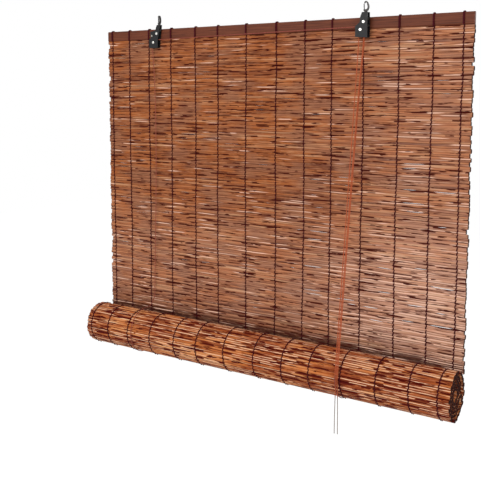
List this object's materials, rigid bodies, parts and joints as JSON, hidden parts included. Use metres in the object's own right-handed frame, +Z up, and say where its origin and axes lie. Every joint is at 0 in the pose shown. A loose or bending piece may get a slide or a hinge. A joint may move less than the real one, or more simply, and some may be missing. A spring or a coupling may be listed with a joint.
{
  "type": "reed roll-up blind",
  "caption": "Reed roll-up blind, partly rolled up, with a thin head batten, woven warp threads, cord pulleys with a cord lock, and snap hooks to hang it from.",
  "frame": {"origin": "centre of the left snap hook's eye, where the blind hangs", "axes": "+X along the head rail towards the lock side, +Y away from the room towards the window, +Z up; the front faces -Y"},
  "size_m": [0.9, 0.1079, 0.8584],
  "materials": {
    "reeds": "satin",
    "rail_wood": "satin",
    "warp": "matt",
    "cord": "matt",
    "black_metal": "satin",
    "sheave": "satin",
    "rivet_steel": "polished",
    "screw_steel": "zinc plated",
    "cam_metal": "cast",
    "hook_metal": "satin, aged"
  },
  "bodies": {
    "head": {"head_rail": "rail_wood", "reed_mat": "reeds", "warp_thread_01": "warp", "warp_thread_02": "warp", "warp_thread_03": "warp", "warp_thread_04": "warp", "warp_thread_05": "warp", "warp_thread_06": "warp", "warp_thread_07": "warp", "warp_thread_08": "warp", "warp_thread_09": "warp", "warp_thread_10": "warp", "warp_thread_11": "warp", "warp_thread_12": "warp", "warp_thread_13": "warp", "warp_thread_14": "warp", "cord_tie_screws": "screw_steel", "left_pulley_housing": "black_metal", "left_axle_rivet": "rivet_steel", "left_neck_rivet": "rivet_steel", "left_pulley_screws": "screw_steel", "right_pulley_housing": "black_metal", "right_axle_rivet": "rivet_steel", "right_cam_rivet": "rivet_steel", "right_pulley_screws": "screw_steel", "left_cord_back_leg": "cord", "right_cord_back_leg": "cord", "left_cord_front_leg": "cord", "cord_across": "cord", "right_cord_bend": "cord", "right_cord_front_leg": "cord", "left_pull_cord_run": "cord", "right_pull_cord_run": "cord"},
    "cradle": {"left_cord_loop": "cord", "right_cord_loop": "cord"},
    "roll": {"reed_roll": "reeds", "roll_thread_01": "warp", "roll_thread_02": "warp", "roll_thread_03": "warp", "roll_thread_04": "warp", "roll_thread_05": "warp", "roll_thread_06": "warp", "roll_thread_07": "warp", "roll_thread_08": "warp", "roll_thread_09": "warp", "roll_thread_10": "warp", "roll_thread_11": "warp", "roll_thread_12": "warp", "roll_thread_13": "warp", "roll_thread_14": "warp"},
    "left_sheave": {"left_sheave": "sheave"},
    "right_back_sheave": {"right_back_sheave": "sheave"},
    "right_front_sheave": {"right_front_sheave": "sheave"},
    "cam": {"right_lock_cam": "cam_metal"},
    "left_hook": {"left_snap_hook": "hook_metal"},
    "right_hook": {"right_snap_hook": "hook_metal"},
    "left_gate": {"left_hook_gate": "hook_metal"},
    "right_gate": {"right_hook_gate": "hook_metal"},
    "left_pull_end": {"left_pull_cord_end": "cord"},
    "right_pull_end": {"right_pull_cord_end": "cord"}
  },
  "joints": [
    {"name": "lift", "type": "slide", "parent": "head", "child": "cradle", "axis": [0, 0, 1], "range_m": [0, 0.595], "deforming": ["reed_mat", "warp_thread_01", "warp_thread_02", "warp_thread_03", "warp_thread_04", "warp_thread_05", "warp_thread_06", "warp_thread_07", "warp_thread_08", "warp_thread_09", "warp_thread_10", "warp_thread_11", "warp_thread_12", "warp_thread_13", "warp_thread_14", "left_cord_back_leg", "right_cord_back_leg", "left_cord_front_leg", "right_cord_front_leg", "left_pull_cord_run", "right_pull_cord_run"]},
    {"name": "roll_turn", "type": "hinge", "parent": "cradle", "child": "roll", "pos_m": [0.2855, -0.0393, -0.74165], "axis": [-1, 0, 0], "range_deg": [0, 720]},
    {"name": "left_sheave_spin", "type": "hinge", "parent": "head", "child": "left_sheave", "pos_m": [-0.0155, -0.0004, -0.0558], "axis": [0, 1, 0], "range_deg": [0, 11400]},
    {"name": "right_back_sheave_spin", "type": "hinge", "parent": "head", "child": "right_back_sheave", "pos_m": [0.5147, -0.00235, -0.0498], "axis": [0, 1, 0], "range_deg": [0, 11400]},
    {"name": "right_front_sheave_spin", "type": "hinge", "parent": "head", "child": "right_front_sheave", "pos_m": [0.5147, -0.00705, -0.0498], "axis": [0, 1, 0], "range_deg": [0, 11400]},
    {"name": "cam_turn", "type": "hinge", "parent": "head", "child": "cam", "pos_m": [0.5213, -0.0039, -0.0348], "axis": [0, -1, 0], "range_deg": [0, 25]},
    {"name": "left_hook_swivel", "type": "hinge", "parent": "head", "child": "left_hook", "pos_m": [0, 0, -0.0157], "axis": [0, 0, 1], "continuous": true},
    {"name": "right_hook_swivel", "type": "hinge", "parent": "head", "child": "right_hook", "pos_m": [0.5233, -0.0043, -0.0157], "axis": [0, 0, 1], "continuous": true},
    {"name": "left_gate_swing", "type": "hinge", "parent": "left_hook", "child": "left_gate", "pos_m": [-0.00281, 0.00131, -0.01205], "axis": [0.4226, 0.9063, 0], "range_deg": [0, 25], "stiffness_Nm_per_rad": 0.002, "springref_deg": -17.19},
    {"name": "right_gate_swing", "type": "hinge", "parent": "right_hook", "child": "right_gate", "pos_m": [0.5202, -0.0043, -0.01205], "axis": [0, 1, 0], "range_deg": [0, 25], "stiffness_Nm_per_rad": 0.002, "springref_deg": -17.19},
    {"name": "left_pull", "type": "slide", "parent": "cradle", "child": "left_pull_end", "axis": [0, 0, -1], "range_m": [0, 1.785], "deforming": ["left_pull_cord_end"]},
    {"name": "right_pull", "type": "slide", "parent": "cradle", "child": "right_pull_end", "axis": [0, 0, -1], "range_m": [0, 1.785], "deforming": ["right_pull_cord_end"]}
  ],
  "couplings": [
    {"joint": "roll_turn", "follows": "lift", "rad_per_m": 21.097},
    {"joint": "left_sheave_spin", "follows": "lift", "rad_per_m": 333.33},
    {"joint": "right_back_sheave_spin", "follows": "lift", "rad_per_m": 333.33},
    {"joint": "right_front_sheave_spin", "follows": "lift", "rad_per_m": 333.33},
    {"joint": "left_pull", "follows": "lift", "ratio": 3},
    {"joint": "right_pull", "follows": "lift", "ratio": 3}
  ]
}
